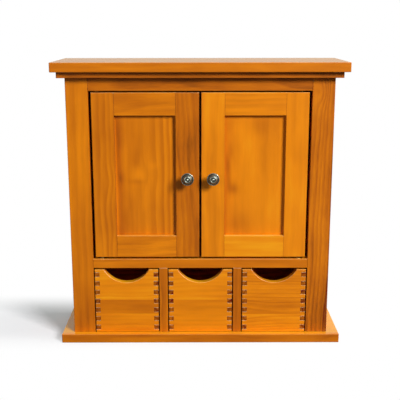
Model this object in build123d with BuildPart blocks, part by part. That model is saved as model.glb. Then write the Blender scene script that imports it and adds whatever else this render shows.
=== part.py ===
from build123d import *
from math import floor, radians, sqrt, tan
import os

# A small cabinet that stands on a table: two framed doors above three finger-jointed drawers.
# Millimetres. +Z is up, the front faces -Y, and the origin is the centre of the base board's underside.

# Overall form
overall_height = 432.0
case_width = 395.0  # across the outer faces of the sides
case_depth = 120.0  # from the front of the face frame to the back of the case
top_thickness = 14.0
top_overhang = 18.5  # past the case, at the front and at each side
base_thickness = 14.0
base_side_overhang = 18.5
base_front_overhang = 10.0
board_edge_radius = 1.0  # rounded edges of the top and base boards
cornice_projection = 10.4  # of the strip under the top board, past the case
cornice_height = 8.6
edge_radius = 0.6  # sanded edges of the frame, the doors and the drawers

# Case
stile_width = 33.0
frame_thickness = 15.0
top_rail_height = 28.0
middle_rail_height = 14.6
drawer_opening_height = 104.9
side_thickness = 13.0
rabbet_width = 7.0  # of the step in each side that takes the back panel
floor_thickness = 12.0
divider_thickness = 13.0
guide_height = 30.0
back_thickness = 5.0

# Shelf and its pins
shelf_thickness = 12.0
shelf_height = 122.0  # of its underside, above the cupboard floor
shelf_setback = 12.0  # behind the face frame
shelf_end_clearance = 0.5
shelf_seat_clearance = 0.1  # between the shelf and its pins
shelf_pin_radius = 2.5
shelf_pin_depth = 8.0  # in the side
shelf_pin_reach = 7.0  # under the shelf
shelf_pin_inset = 18.0  # from the shelf's front and back edges
shelf_hole_spacing = 32.0  # up and down from the hole in use

# Doors
door_thickness = 15.0
door_hinge_gap = 4.1
door_meeting_gap = 3.1
door_top_gap = 2.2
door_bottom_gap = 3.2
hinge_stile_width = 33.5
meeting_stile_width = 35.0
door_rail_height = 34.0
panel_thickness = 5.0
panel_recess = 6.0  # from the door's face to the panel
panel_side_fit = 0.1  # the groove's width beyond the panel's thickness
panel_float = 0.6  # left at the bottom of each groove
groove_depth = 8.0
tongue_end_gap = 0.3

# Door pivots
pivot_inset = 9.0  # from the door's hinge edge to the pivot's axis
pin_radius = 2.0
pin_running_fit = 0.05
pin_length_in_door = 16.0
pin_length_in_bush = 7.0
pin_collar_radius = 4.5
collar_running_gap = 0.3
bush_wall = 1.2
bush_depth = 8.0
bush_flange_radius = 5.0
bush_flange_thickness = 0.9

# Knobs
knob_diameter = 19.0
knob_projection = 20.5
knob_height = 124.5  # of its axis, above the door's bottom edge
knob_foot_radius = 4.8
knob_foot_thickness = 1.6
knob_neck_radius = 3.4
knob_neck_length = 8.5  # from the door's face
knob_lip_radius = 0.9  # of the rounded lip round the crown
knob_lip_step = 0.5  # from the lip's top down to the crown's edge
knob_crown_rise = 4.4  # from the lip's top to the tip
knob_ring_outer = 5.6  # radii of the turned ring on the crown
knob_ring_inner = 2.6
knob_ring_step = 0.5  # from the crown down to the ring's outer edge
knob_groove_depth = 1.3  # from the crown down to the groove inside the ring
knob_screw_radius = 2.0
knob_screw_depth = 8.0  # in the knob
knob_screw_head_radius = 3.8
knob_screw_head_height = 2.2

# Magnetic catch
catch_half_width = 20.0
catch_depth = 13.0
catch_rise = 13.0  # above the top rail's underside
catch_drop = 13.0  # below it
magnet_spacing = 22.0
magnet_radius = 4.0
magnet_length = 5.0
magnet_air_gap = 0.4
catch_screw_radius = 1.6
catch_screw_bite = 9.0  # into the top rail
catch_screw_head_radius = 3.0
catch_screw_head_height = 1.6
strike_width = 13.0
strike_height = 11.0
strike_thickness = 1.0
strike_top_margin = 2.0  # below the door's top edge
strike_screw_radius = 1.4
strike_screw_length = 9.0
strike_corner_radius = 1.0

# Drawers
drawer_side_gap = 1.5
drawer_top_gap = 2.6
drawer_floor_gap = 0.4
drawer_back_gap = 4.0
drawer_front_thickness = 11.0
drawer_side_thickness = 7.0
drawer_back_thickness = 8.0
drawer_bottom_thickness = 4.0
drawer_bottom_rise = 4.0  # from the drawer's lower edge to its bottom panel
drawer_groove_depth = 3.5
drawer_bottom_clearance = 0.1  # around the bottom panel, in its grooves
finger_width = 7.2
scoop_radius = 38.9
scoop_depth = 20.9

# Fastenings
countersink_angle = 82.0
fastener_clearance = 0.05  # around each dowel, screw, nail, bush and pin in its hole
dowel_radius = 3.0
top_dowel_depth = 8.0  # in the top board
dowel_depth = 12.0  # in each side panel and stile
rail_dowel_web = 2.0  # wood left in a rail between a dowel and a bush
top_dowel_margin = 16.0  # from the ends of the side
top_rail_dowel_spacing = 12.0
base_screw_radius = 1.75
base_screw_head_radius = 3.6
base_screw_length = 34.0
base_screw_sink = 0.3  # of the head, below the base board's underside
base_screw_margin = 22.0  # from the front and back of the case
nail_radius = 0.8
nail_head_radius = 1.6
nail_head_thickness = 0.8
nail_length = 18.0
nail_count = 5  # up each side
nail_end_margin = 25.0

# Planes of the case
half_case = case_width / 2
opening_half = half_case - stile_width
side_inner = half_case - side_thickness
back_y = (case_depth + base_front_overhang) / 2
front_y = back_y - case_depth
frame_back = front_y + frame_thickness
back_front = back_y - back_thickness
top_under = overall_height - top_thickness
rail_under = top_under - top_rail_height
middle_under = base_thickness + drawer_opening_height
middle_top = middle_under + middle_rail_height
floor_under = middle_top - floor_thickness
cornice_under = top_under - cornice_height

# Planes of the doors
door_bottom = middle_top + door_bottom_gap
door_top = rail_under - door_top_gap
door_back = front_y + door_thickness
hinge_edge = opening_half - door_hinge_gap
meeting_edge = door_meeting_gap / 2
hinge_inner = hinge_edge - hinge_stile_width
meeting_inner = meeting_edge + meeting_stile_width
panel_front = front_y + panel_recess
groove_width = panel_thickness + panel_side_fit
lower_rail_top = door_bottom + door_rail_height
upper_rail_under = door_top - door_rail_height
pivot_x = hinge_edge - pivot_inset
pivot_y = front_y + door_thickness / 2
knob_x = (meeting_edge + meeting_inner) / 2
knob_z = door_bottom + knob_height
bush_radius = pin_radius + pin_running_fit + bush_wall

# Planes of the drawers
drawer_opening_width = (2 * opening_half - 2 * divider_thickness) / 3
drawer_pitch = drawer_opening_width + divider_thickness
drawer_half = drawer_opening_width / 2 - drawer_side_gap
drawer_bottom = base_thickness + drawer_floor_gap
drawer_top = middle_under - drawer_top_gap
drawer_height = drawer_top - drawer_bottom
drawer_back = back_front - drawer_back_gap
finger_count = floor(drawer_height / (2 * finger_width))
finger_start = drawer_bottom + (drawer_height - (2 * finger_count - 1) * finger_width) / 2
finger_bottoms = [finger_start + 2 * finger_width * k for k in range(finger_count)]

SIDES = (("left", -1), ("right", 1))
DRAWERS = (("left", -drawer_pitch), ("middle", 0.0), ("right", drawer_pitch))

os.makedirs("parts", exist_ok=True)


def block(x, y, z, mode=Mode.ADD):
    """The box between two planes each way, given as pairs in any order, in the part that is open."""
    x_low, x_high = sorted(x)
    y_low, y_high = sorted(y)
    z_low, z_high = sorted(z)
    with BuildSketch(Plane.XY.offset(z_low)) as outline:
        with Locations(((x_low + x_high) / 2, (y_low + y_high) / 2)):
            Rectangle(x_high - x_low, y_high - y_low)
    extrude(outline.sketch, amount=z_high - z_low, mode=mode)


def upright_rods(spots, radius, z, mode=Mode.ADD):
    """Round rods or holes along Z at the given (x, y) spots."""
    z_low, z_high = sorted(z)
    with BuildSketch(Plane.XY.offset(z_low)) as circles:
        with Locations(*spots):
            Circle(radius)
    extrude(circles.sketch, amount=z_high - z_low, mode=mode)


def cross_rods(spots, radius, x, mode=Mode.ADD):
    """Round rods or holes along X at the given (y, z) spots."""
    x_low, x_high = sorted(x)
    with BuildSketch(Plane.YZ.offset(x_low)) as circles:
        with Locations(*spots):
            Circle(radius)
    extrude(circles.sketch, amount=x_high - x_low, mode=mode)


def depth_rods(spots, radius, y, mode=Mode.ADD):
    """Round rods or holes along Y at the given (x, z) spots."""
    y_low, y_high = sorted(y)
    with BuildSketch(Plane.XZ.offset(-y_high)) as circles:
        with Locations(*spots):
            Circle(radius)
    extrude(circles.sketch, amount=y_high - y_low, mode=mode)


def turned(profile, origin, direction, mode=Mode.ADD):
    """A turned solid: profile gives (radius, distance) pairs along a Y or Z axis from the origin."""
    across = Vector(1, 0, 0)
    plane = Plane(origin=origin, x_dir=across, z_dir=across.cross(Vector(*direction)))
    with BuildSketch(plane) as section:
        with BuildLine():
            Polyline(*profile, close=True)
        make_face()
    revolve(section.sketch, axis=Axis(origin, direction), mode=mode)


def countersunk_screw(origin, direction, shank_radius, head_radius, length):
    """A wood screw that points along direction, with its flat head at the origin."""
    cone_height = (head_radius - shank_radius) / tan(radians(countersink_angle / 2))
    profile = (
        (0, 0),
        (head_radius, 0),
        (shank_radius, cone_height),
        (shank_radius, length - 2 * shank_radius),
        (0, length),
    )
    turned(profile, origin, direction)


def pan_head_screw(origin, direction, shank_radius, length, head_radius, head_height):
    """A screw whose domed head stands on the surface at the origin and whose shank goes along direction."""
    crown_radius = 0.6 * head_radius
    profile = (
        (0, -head_height),
        (crown_radius, -head_height),
        (head_radius, -head_height / 3),
        (head_radius, 0),
        (shank_radius, 0),
        (shank_radius, length),
        (0, length),
    )
    turned(profile, origin, direction)


def front_edges(builder):
    """The edges around the foremost face of a part."""
    return builder.faces().sort_by(Axis.Y)[0].edges()


def save(builder, name):
    """Labels a finished piece and writes it."""
    builder.part.label = name
    export_step(builder.part, f"parts/{name}.step")


# Places of the fastenings, shared by the fastening and by each piece that it goes through

side_middle = (half_case + side_inner) / 2
top_dowel_ys = [frame_back + top_dowel_margin, back_front - top_dowel_margin]
top_rail_middle = (rail_under + top_under) / 2
frame_middle_y = (front_y + frame_back) / 2
top_rail_dowel_spots = [
    (frame_middle_y, top_rail_middle - top_rail_dowel_spacing / 2),
    (frame_middle_y, top_rail_middle + top_rail_dowel_spacing / 2),
]
middle_rail_dowel_spots = [(frame_middle_y, (middle_under + middle_top) / 2)]
frame_dowel_spots = top_rail_dowel_spots + middle_rail_dowel_spots
base_screw_ys = [front_y + base_screw_margin, back_front - base_screw_margin]
base_screw_xs = [side * x for side in (-1, 1) for x in (side_middle, drawer_pitch / 2)]
base_screw_spots = [(x, y) for x in base_screw_xs for y in base_screw_ys]
nail_x = side_inner + rabbet_width / 2
nail_pitch = (top_under - base_thickness - 2 * nail_end_margin) / (nail_count - 1)
nail_zs = [base_thickness + nail_end_margin + nail_pitch * k for k in range(nail_count)]
nail_spots = [(side * nail_x, z) for side in (-1, 1) for z in nail_zs]
pivot_spots = [(-pivot_x, pivot_y), (pivot_x, pivot_y)]
rail_dowel_end = pivot_x + bush_radius + rail_dowel_web
catch_front = door_back + strike_thickness + magnet_air_gap
catch_back = frame_back + catch_depth
strike_x = magnet_spacing / 2
strike_z = door_top - strike_top_margin - strike_height / 2
strike_screw_head_radius = strike_screw_radius + strike_thickness * tan(radians(countersink_angle / 2))
magnet_spots = [(-strike_x, strike_z), (strike_x, strike_z)]
catch_screw_spots = [(x, rail_under + catch_rise / 2) for x in (-strike_x, strike_x)]

# Top board, cornice and base board

half_top = half_case + top_overhang
with BuildPart() as top_board:
    block((-half_top, half_top), (front_y - top_overhang, back_y), (top_under, overall_height))
    fillet(top_board.edges(), board_edge_radius)
    top_dowel_spots = [(side * side_middle, y) for side in (-1, 1) for y in top_dowel_ys]
    hole_radius = dowel_radius + fastener_clearance
    upright_rods(top_dowel_spots, hole_radius, (top_under, top_under + top_dowel_depth), Mode.SUBTRACT)
save(top_board, "top_board")

cornice_outer = half_case + cornice_projection
cornice_front_y = front_y - cornice_projection
with BuildPart() as cornice_front:
    with BuildSketch(Plane.XY.offset(cornice_under)):
        with BuildLine():
            Polyline(
                (-half_case, front_y),
                (half_case, front_y),
                (cornice_outer, cornice_front_y),
                (-cornice_outer, cornice_front_y),
                close=True,
            )
        make_face()
    extrude(amount=cornice_height)
save(cornice_front, "cornice_front")

for side_name, side in SIDES:
    with BuildPart() as cornice_side:
        with BuildSketch(Plane.XY.offset(cornice_under)):
            with BuildLine():
                Polyline(
                    (side * half_case, front_y),
                    (side * cornice_outer, cornice_front_y),
                    (side * cornice_outer, back_y),
                    (side * half_case, back_y),
                    close=True,
                )
            make_face()
        extrude(amount=cornice_height)
    save(cornice_side, f"cornice_{side_name}")

half_base = half_case + base_side_overhang
with BuildPart() as base_board:
    block((-half_base, half_base), (front_y - base_front_overhang, back_y), (0, base_thickness))
    fillet(base_board.edges(), board_edge_radius)
    with Locations(Plane(origin=(0, 0, base_screw_sink), x_dir=(1, 0, 0), z_dir=(0, 0, -1))):
        with Locations(*[(x, -y) for x, y in base_screw_spots]):
            CounterSinkHole(
                base_screw_radius + fastener_clearance,
                base_screw_head_radius + fastener_clearance,
                counter_sink_angle=countersink_angle,
            )
save(base_board, "base_board")

# Case behind the face frame

shelf_under = middle_top + shelf_height
shelf_front = frame_back + shelf_setback
shelf_back = back_front - shelf_end_clearance
pin_z = shelf_under - shelf_seat_clearance - shelf_pin_radius
shelf_pin_ys = (shelf_front + shelf_pin_inset, shelf_back - shelf_pin_inset)
shelf_pin_spots = [(y, pin_z) for y in shelf_pin_ys]
shelf_hole_zs = [pin_z + shelf_hole_spacing * k for k in (-1, 0, 1)]
shelf_hole_spots = [(y, z) for y in shelf_pin_ys for z in shelf_hole_zs]
screw_top = base_screw_sink + base_screw_length
rabbet_x = side_inner + rabbet_width

for side_name, side in SIDES:
    with BuildPart() as side_panel:
        with BuildSketch(Plane.XY.offset(base_thickness)):
            with BuildLine():
                Polyline(
                    (side * half_case, frame_back),
                    (side * half_case, back_y),
                    (side * rabbet_x, back_y),
                    (side * rabbet_x, back_front),
                    (side * side_inner, back_front),
                    (side * side_inner, frame_back),
                    close=True,
                )
            make_face()
        extrude(amount=top_under - base_thickness)
        panel_spots = [(side * side_middle, y) for y in top_dowel_ys]
        hole_radius = dowel_radius + fastener_clearance
        upright_rods(panel_spots, hole_radius, (top_under - dowel_depth, top_under), Mode.SUBTRACT)
        screw_spots = [(side * side_middle, y) for y in base_screw_ys]
        hole_radius = base_screw_radius + fastener_clearance
        upright_rods(screw_spots, hole_radius, (base_thickness, screw_top), Mode.SUBTRACT)
        hole_radius = shelf_pin_radius + fastener_clearance
        hole_xs = (side * side_inner, side * (side_inner + shelf_pin_depth))
        cross_rods(shelf_hole_spots, hole_radius, hole_xs, Mode.SUBTRACT)
        hole_radius = nail_radius + fastener_clearance
        side_nails = [(side * nail_x, z) for z in nail_zs]
        depth_rods(side_nails, hole_radius, (back_y - nail_length, back_front), Mode.SUBTRACT)
    save(side_panel, f"{side_name}_side_panel")

with BuildPart() as cupboard_floor:
    block((-side_inner, side_inner), (frame_back, back_front), (floor_under, middle_top))
save(cupboard_floor, "cupboard_floor")

for side_name, side in SIDES:
    divider_middle = side * drawer_pitch / 2
    with BuildPart() as drawer_divider:
        with BuildSketch(Plane.YZ.offset(divider_middle - divider_thickness / 2)):
            with BuildLine():
                Polyline(
                    (front_y, base_thickness),
                    (back_front, base_thickness),
                    (back_front, floor_under),
                    (frame_back, floor_under),
                    (frame_back, middle_under),
                    (front_y, middle_under),
                    close=True,
                )
            make_face()
        extrude(amount=divider_thickness)
        fillet(front_edges(drawer_divider).filter_by(Axis.Z), edge_radius)
        screw_spots = [(divider_middle, y) for y in base_screw_ys]
        hole_radius = base_screw_radius + fastener_clearance
        upright_rods(screw_spots, hole_radius, (base_thickness, screw_top), Mode.SUBTRACT)
    save(drawer_divider, f"{side_name}_drawer_divider")

    with BuildPart() as drawer_guide:
        guide_xs = (side * opening_half, side * side_inner)
        block(guide_xs, (frame_back, back_front), (base_thickness, base_thickness + guide_height))
    save(drawer_guide, f"{side_name}_drawer_guide")

with BuildPart() as back_panel:
    block((-rabbet_x, rabbet_x), (back_front, back_y), (base_thickness, top_under))
    hole_radius = nail_radius + fastener_clearance
    depth_rods(nail_spots, hole_radius, (back_front, back_y), Mode.SUBTRACT)
    hole_radius = nail_head_radius + fastener_clearance
    depth_rods(nail_spots, hole_radius, (back_y - nail_head_thickness, back_y), Mode.SUBTRACT)
save(back_panel, "back_panel")

with BuildPart() as cupboard_shelf:
    shelf_half = side_inner - shelf_end_clearance
    shelf_zs = (shelf_under, shelf_under + shelf_thickness)
    block((-shelf_half, shelf_half), (shelf_front, shelf_back), shelf_zs)
    fillet(front_edges(cupboard_shelf).filter_by(Axis.X), edge_radius)
save(cupboard_shelf, "cupboard_shelf")

with BuildPart() as shelf_pins:
    for side in (-1, 1):
        pin_xs = (side * (side_inner - shelf_pin_reach), side * (side_inner + shelf_pin_depth))
        cross_rods(shelf_pin_spots, shelf_pin_radius, pin_xs)
save(shelf_pins, "shelf_pins")

# Face frame

for side_name, side in SIDES:
    with BuildPart() as frame_stile:
        stile_xs = (side * opening_half, side * half_case)
        block(stile_xs, (front_y, frame_back), (base_thickness, top_under))
        fillet(front_edges(frame_stile).filter_by(Axis.Z), edge_radius)
        hole_radius = dowel_radius + fastener_clearance
        hole_xs = (side * opening_half, side * (opening_half + dowel_depth))
        cross_rods(frame_dowel_spots, hole_radius, hole_xs, Mode.SUBTRACT)
    save(frame_stile, f"{side_name}_frame_stile")

with BuildPart() as top_frame_rail:
    block((-opening_half, opening_half), (front_y, frame_back), (rail_under, top_under))
    lower_edge = front_edges(top_frame_rail).filter_by(Axis.X).sort_by(Axis.Z)[0]
    fillet(lower_edge, edge_radius)
    hole_radius = dowel_radius + fastener_clearance
    for side in (-1, 1):
        hole_xs = (side * rail_dowel_end, side * opening_half)
        cross_rods(top_rail_dowel_spots, hole_radius, hole_xs, Mode.SUBTRACT)
    hole_radius = bush_radius + fastener_clearance
    upright_rods(pivot_spots, hole_radius, (rail_under, rail_under + bush_depth), Mode.SUBTRACT)
    hole_radius = catch_screw_radius + fastener_clearance
    depth_rods(catch_screw_spots, hole_radius, (frame_back - catch_screw_bite, frame_back), Mode.SUBTRACT)
save(top_frame_rail, "top_frame_rail")

with BuildPart() as middle_frame_rail:
    block((-opening_half, opening_half), (front_y, frame_back), (middle_under, middle_top))
    fillet(front_edges(middle_frame_rail).filter_by(Axis.X), edge_radius)
    hole_radius = dowel_radius + fastener_clearance
    for side in (-1, 1):
        hole_xs = (side * rail_dowel_end, side * opening_half)
        cross_rods(middle_rail_dowel_spots, hole_radius, hole_xs, Mode.SUBTRACT)
    hole_radius = bush_radius + fastener_clearance
    upright_rods(pivot_spots, hole_radius, (middle_top - bush_depth, middle_top), Mode.SUBTRACT)
save(middle_frame_rail, "middle_frame_rail")

# Fastenings of the case

with BuildPart() as dowels:
    upright_rods(top_dowel_spots, dowel_radius, (top_under - dowel_depth, top_under + top_dowel_depth))
    for side in (-1, 1):
        dowel_xs = (side * rail_dowel_end, side * (opening_half + dowel_depth))
        cross_rods(frame_dowel_spots, dowel_radius, dowel_xs)
save(dowels, "dowels")

with BuildPart() as base_screws:
    for x, y in base_screw_spots:
        head = (x, y, base_screw_sink)
        countersunk_screw(head, (0, 0, 1), base_screw_radius, base_screw_head_radius, base_screw_length)
save(base_screws, "base_screws")

with BuildPart() as back_nails:
    depth_rods(nail_spots, nail_radius, (back_y - nail_length, back_y))
    depth_rods(nail_spots, nail_head_radius, (back_y - nail_head_thickness, back_y))
save(back_nails, "back_nails")

with BuildPart() as hinge_bushes:
    for face_z, into_rail in ((rail_under, 1), (middle_top, -1)):
        flange_zs = (face_z - into_rail * bush_flange_thickness, face_z)
        sleeve_zs = (face_z, face_z + into_rail * bush_depth)
        upright_rods(pivot_spots, bush_flange_radius, flange_zs)
        upright_rods(pivot_spots, bush_radius, sleeve_zs)
    bore_zs = (middle_top - bush_depth, rail_under + bush_depth)
    upright_rods(pivot_spots, pin_radius + pin_running_fit, bore_zs, Mode.SUBTRACT)
save(hinge_bushes, "hinge_bushes")

with BuildPart() as catch_body:
    catch_xs = (-catch_half_width, catch_half_width)
    block(catch_xs, (catch_front, catch_back), (rail_under - catch_drop, rail_under + catch_rise))
    block(catch_xs, (frame_back, catch_back), (rail_under, rail_under + catch_rise))
    fillet(catch_body.faces().sort_by(Axis.Y)[-1].edges(), edge_radius)
    hole_radius = magnet_radius + fastener_clearance
    depth_rods(magnet_spots, hole_radius, (catch_front, catch_front + magnet_length), Mode.SUBTRACT)
    hole_radius = catch_screw_radius + fastener_clearance
    depth_rods(catch_screw_spots, hole_radius, (frame_back, catch_back), Mode.SUBTRACT)
save(catch_body, "catch_body")

with BuildPart() as catch_magnets:
    depth_rods(magnet_spots, magnet_radius, (catch_front, catch_front + magnet_length))
save(catch_magnets, "catch_magnets")

with BuildPart() as catch_screws:
    for x, z in catch_screw_spots:
        pan_head_screw(
            (x, catch_back, z),
            (0, -1, 0),
            catch_screw_radius,
            catch_depth + catch_screw_bite,
            catch_screw_head_radius,
            catch_screw_head_height,
        )
save(catch_screws, "catch_screws")

# Doors

groove_ys = (panel_front, panel_front + groove_width)
panel_ys = (panel_front + panel_side_fit, panel_front + groove_width)  # also of the rails' tongues
tongue_length = groove_depth - tongue_end_gap
panel_tuck = groove_depth - panel_float
knob_radius = knob_diameter / 2
lip_top = knob_projection - knob_crown_rise
lip_under = lip_top - 2 * knob_lip_radius
flare_radius = knob_radius - knob_lip_radius
crown_edge = knob_radius - 2 * knob_lip_radius
crown_rise = knob_crown_rise + knob_lip_step
crown_radius = (crown_edge**2 + crown_rise**2) / (2 * crown_rise)


def crown_height(radius):
    """The height above the door's face of the knob's spherical crown, at a radius from its axis."""
    return knob_projection - crown_radius + sqrt(crown_radius**2 - radius**2)


ring_edge = knob_ring_outer + knob_ring_step
crown_middle = (crown_edge + ring_edge) / 2
ring_top = crown_height(ring_edge)
ring_middle = (knob_ring_outer + knob_ring_inner) / 2
groove_height = crown_height(knob_ring_inner) - knob_groove_depth

for side_name, side in SIDES:
    door = f"{side_name}_door"
    pivot = (side * pivot_x, pivot_y)

    with BuildPart() as hinge_stile:
        block((side * hinge_inner, side * hinge_edge), (front_y, door_back), (door_bottom, door_top))
        inner_edge = front_edges(hinge_stile).filter_by(Axis.Z).sort_by(Axis.X)[0 if side > 0 else -1]
        fillet(front_edges(hinge_stile) - [inner_edge], edge_radius)
        groove_xs = (side * hinge_inner, side * (hinge_inner + groove_depth))
        block(groove_xs, groove_ys, (door_bottom, door_top), Mode.SUBTRACT)
        hole_radius = pin_radius + fastener_clearance
        upright_rods([pivot], hole_radius, (door_bottom, door_bottom + pin_length_in_door), Mode.SUBTRACT)
        upright_rods([pivot], hole_radius, (door_top - pin_length_in_door, door_top), Mode.SUBTRACT)
    save(hinge_stile, f"{door}_hinge_stile")

    with BuildPart() as meeting_stile:
        block((side * meeting_edge, side * meeting_inner), (front_y, door_back), (door_bottom, door_top))
        inner_edge = front_edges(meeting_stile).filter_by(Axis.Z).sort_by(Axis.X)[-1 if side > 0 else 0]
        fillet(front_edges(meeting_stile) - [inner_edge], edge_radius)
        groove_xs = (side * meeting_inner, side * (meeting_inner - groove_depth))
        block(groove_xs, groove_ys, (door_bottom, door_top), Mode.SUBTRACT)
        hole_radius = knob_screw_radius + fastener_clearance
        depth_rods([(side * knob_x, knob_z)], hole_radius, (front_y, door_back), Mode.SUBTRACT)
        hole_radius = strike_screw_radius + fastener_clearance
        hole_ys = (door_back + strike_thickness - strike_screw_length, door_back)
        depth_rods([(side * strike_x, strike_z)], hole_radius, hole_ys, Mode.SUBTRACT)
    save(meeting_stile, f"{door}_meeting_stile")

    rail_xs = (side * meeting_inner, side * hinge_inner)
    tongue_xs = (side * (meeting_inner - tongue_length), side * (hinge_inner + tongue_length))
    for rail_name, rail_zs, groove_zs in (
        ("top_rail", (upper_rail_under, door_top), (upper_rail_under, upper_rail_under + groove_depth)),
        ("bottom_rail", (door_bottom, lower_rail_top), (lower_rail_top - groove_depth, lower_rail_top)),
    ):
        with BuildPart() as door_rail:
            block(rail_xs, (front_y, door_back), rail_zs)
            fillet(front_edges(door_rail).filter_by(Axis.X), edge_radius)
            block(tongue_xs, panel_ys, rail_zs)
            block(tongue_xs, groove_ys, groove_zs, Mode.SUBTRACT)
        save(door_rail, f"{door}_{rail_name}")

    with BuildPart() as door_panel:
        panel_xs = (side * (meeting_inner - panel_tuck), side * (hinge_inner + panel_tuck))
        panel_zs = (lower_rail_top - panel_tuck, upper_rail_under + panel_tuck)
        block(panel_xs, panel_ys, panel_zs)
    save(door_panel, f"{door}_panel")

    with BuildPart() as pivot_pins:
        upper_zs = (door_top - pin_length_in_door, rail_under + pin_length_in_bush)
        lower_zs = (middle_top - pin_length_in_bush, door_bottom + pin_length_in_door)
        collar_zs = (middle_top + bush_flange_thickness + collar_running_gap, door_bottom)
        upright_rods([pivot], pin_radius, upper_zs)
        upright_rods([pivot], pin_radius, lower_zs)
        upright_rods([pivot], pin_collar_radius, collar_zs)
    save(pivot_pins, f"{door}_pivot_pins")

    with BuildPart() as knob:
        plane = Plane(origin=(side * knob_x, front_y, knob_z), x_dir=(1, 0, 0), z_dir=(0, 0, -1))
        with BuildSketch(plane):
            with BuildLine():
                Polyline(
                    (0, 0),
                    (knob_foot_radius, 0),
                    (knob_foot_radius, knob_foot_thickness),
                    (knob_neck_radius, knob_foot_thickness + edge_radius),
                    (knob_neck_radius, knob_neck_length),
                )
                TangentArc((knob_neck_radius, knob_neck_length), (flare_radius, lip_under), tangent=(0, 1))
                ThreePointArc(
                    (flare_radius, lip_under),
                    (knob_radius, lip_under + knob_lip_radius),
                    (flare_radius, lip_top),
                )
                Line((flare_radius, lip_top), (crown_edge, lip_top - knob_lip_step))
                ThreePointArc(
                    (crown_edge, lip_top - knob_lip_step),
                    (crown_middle, crown_height(crown_middle)),
                    (ring_edge, ring_top),
                )
                Line((ring_edge, ring_top), (knob_ring_outer, ring_top - knob_ring_step))
                ThreePointArc(
                    (knob_ring_outer, ring_top - knob_ring_step),
                    (ring_middle, crown_height(ring_middle)),
                    (knob_ring_inner, groove_height),
                )
                TangentArc((0, knob_projection), (knob_ring_inner, groove_height), tangent=(1, 0))
                Line((0, knob_projection), (0, 0))
            make_face()
        revolve(axis=Axis((side * knob_x, front_y, knob_z), (0, -1, 0)))
        hole_radius = knob_screw_radius + fastener_clearance
        hole_ys = (front_y - knob_screw_depth, front_y)
        depth_rods([(side * knob_x, knob_z)], hole_radius, hole_ys, Mode.SUBTRACT)
    save(knob, f"{door}_knob")

    with BuildPart() as strike_plate:
        strike_xs = (side * strike_x - strike_width / 2, side * strike_x + strike_width / 2)
        strike_zs = (strike_z - strike_height / 2, strike_z + strike_height / 2)
        block(strike_xs, (door_back, door_back + strike_thickness), strike_zs)
        fillet(strike_plate.edges().filter_by(Axis.Y), strike_corner_radius)
        plane = Plane(origin=(0, door_back + strike_thickness, 0), x_dir=(-1, 0, 0), z_dir=(0, 1, 0))
        with Locations(plane):
            with Locations((-side * strike_x, strike_z)):
                CounterSinkHole(
                    strike_screw_radius + fastener_clearance,
                    strike_screw_head_radius + fastener_clearance,
                    counter_sink_angle=countersink_angle,
                )
    save(strike_plate, f"{door}_strike_plate")

    with BuildPart() as door_screws:
        pan_head_screw(
            (side * knob_x, door_back, knob_z),
            (0, -1, 0),
            knob_screw_radius,
            door_thickness + knob_screw_depth,
            knob_screw_head_radius,
            knob_screw_head_height,
        )
        countersunk_screw(
            (side * strike_x, door_back + strike_thickness, strike_z),
            (0, -1, 0),
            strike_screw_radius,
            strike_screw_head_radius,
            strike_screw_length,
        )
    save(door_screws, f"{door}_screws")

# Drawers

front_inner = front_y + drawer_front_thickness
back_inner = drawer_back - drawer_back_thickness
inner_half = drawer_half - drawer_side_thickness
bottom_zs = (
    drawer_bottom + drawer_bottom_rise,
    drawer_bottom + drawer_bottom_rise + drawer_bottom_thickness,
)
groove_zs = (bottom_zs[0] - drawer_bottom_clearance, bottom_zs[1] + drawer_bottom_clearance)
bottom_half = inner_half + drawer_groove_depth - drawer_bottom_clearance
bottom_ys = (
    front_inner - drawer_groove_depth + drawer_bottom_clearance,
    back_inner + drawer_groove_depth - drawer_bottom_clearance,
)
groove_ys = (front_inner - drawer_groove_depth, back_inner + drawer_groove_depth)


def cut_bottom_groove(middle):
    """Cuts the groove of the bottom panel, of the drawer at the given middle, from the open part."""
    groove_xs = (middle - inner_half - drawer_groove_depth, middle + inner_half + drawer_groove_depth)
    block(groove_xs, groove_ys, groove_zs, Mode.SUBTRACT)


finger_middles = [z + finger_width / 2 for z in finger_bottoms]
finger_x = (inner_half + drawer_half) / 2
drawer_middle_z = (drawer_bottom + drawer_top) / 2


def end_board(middle, y_back, thickness, scooped):
    """A drawer's front or back, with sockets at both ends for the fingers of the sides."""
    with BuildSketch(Plane.XZ.offset(-y_back)) as outline:
        with Locations((middle, drawer_middle_z)):
            Rectangle(2 * drawer_half, drawer_height)
        if scooped:
            with Locations((middle, drawer_top - scoop_depth + scoop_radius)):
                Circle(scoop_radius, mode=Mode.SUBTRACT)
        with Locations(*[(middle + side * finger_x, z) for side in (-1, 1) for z in finger_middles]):
            Rectangle(drawer_side_thickness, finger_width, mode=Mode.SUBTRACT)
    extrude(outline.sketch, amount=thickness)


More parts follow.
